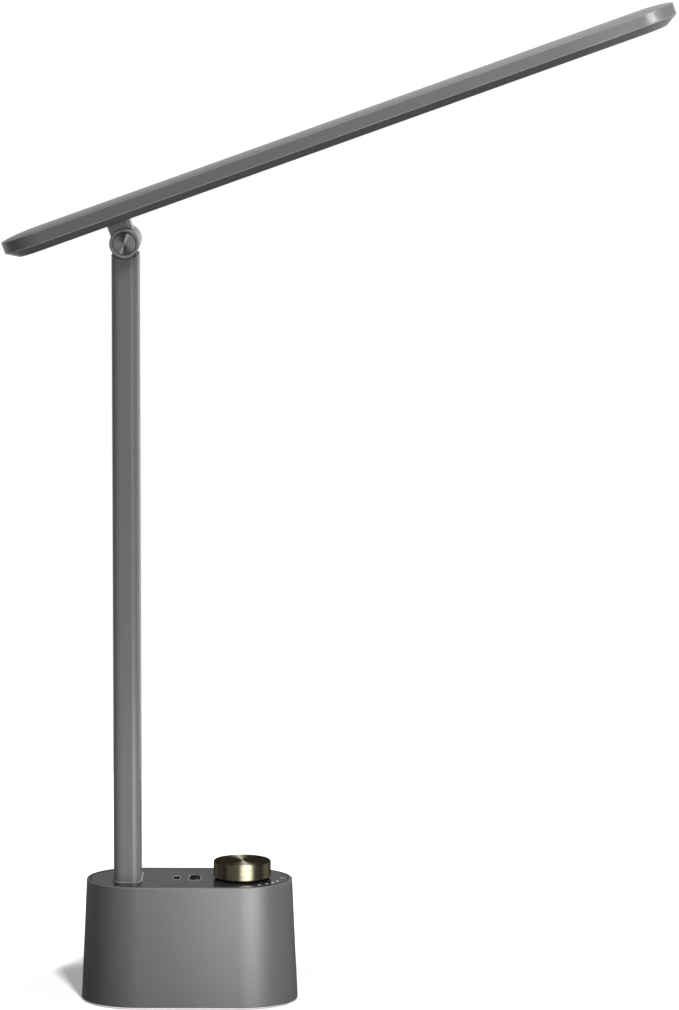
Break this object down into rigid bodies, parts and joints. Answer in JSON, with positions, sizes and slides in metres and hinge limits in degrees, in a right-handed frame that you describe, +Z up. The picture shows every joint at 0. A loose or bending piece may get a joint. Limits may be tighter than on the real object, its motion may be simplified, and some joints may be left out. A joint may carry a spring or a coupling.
{
  "type": "folding led desk lamp",
  "caption": "Desk lamp with a long slim light head hinged on a flat post, over a weighted base with charging ports and a knob.",
  "frame": {"origin": "middle of the base on the desk plane", "axes": "+Z up; +X along the base towards the knob, the way the long end of the head reaches; +Y towards the power inlet at the back"},
  "size_m": [0.3795, 0.0644, 0.5706],
  "materials": {
    "body_grey": "satin grey",
    "moulded_grey": "satin grey",
    "alloy_grey": "satin grey, painted",
    "gloss_black": "high gloss",
    "dark_plastic": "matte",
    "rubber": "matte",
    "bronze": "spun and anodised champagne bronze",
    "steel": "plain",
    "alloy": "plain",
    "board": "solder mask",
    "opal": "opal"
  },
  "bodies": {
    "base": {"base_shell": "moulded_grey", "top_plate": "gloss_black", "bottom_cover": "dark_plastic", "cover_screws": "steel", "base_pad": "rubber", "base_weight": "steel", "weight_screws": "steel", "main_board": "board", "board_screws": "steel", "usb_a_shell": "steel", "usb_a_tongue": "opal", "usb_c_shell": "steel", "usb_c_tongue": "dark_plastic", "encoder_body": "alloy", "dc_inlet": "dark_plastic", "dc_pin": "steel", "inlet_nut": "steel", "post_socket": "steel", "socket_screws": "steel", "post_collar": "dark_plastic", "post_tube": "alloy_grey", "arm_cable": "rubber", "hinge_yoke": "body_grey", "hinge_pin": "steel", "hinge_caps": "alloy", "friction_washers": "steel"},
    "plunger": {"encoder_plunger": "dark_plastic"},
    "knob": {"encoder_shaft": "alloy", "knob_hub": "dark_plastic", "knob": "bronze"},
    "head": {"head_lug": "body_grey", "lug_screws": "steel", "head_housing": "alloy_grey", "head_bezel": "moulded_grey", "diffuser": "opal", "reflector_frame": "opal", "led_board": "alloy", "led_chips": "opal"}
  },
  "joints": [
    {"name": "head_tilt", "type": "hinge", "parent": "base", "child": "head", "pos_m": [-0.0353, 0, 0.4358], "axis": [0, -1, 0], "range_deg": [-109.8, 40.2]},
    {"name": "knob_press", "type": "slide", "parent": "base", "child": "plunger", "axis": [0, 0, -1], "range_m": [0, 0.0005], "stiffness_N_per_m": 3000, "springref_m": -0.0005},
    {"name": "knob_turn", "type": "hinge", "parent": "plunger", "child": "knob", "pos_m": [0.0302, 0, 0.0756], "axis": [0, 0, 1], "continuous": true}
  ]
}
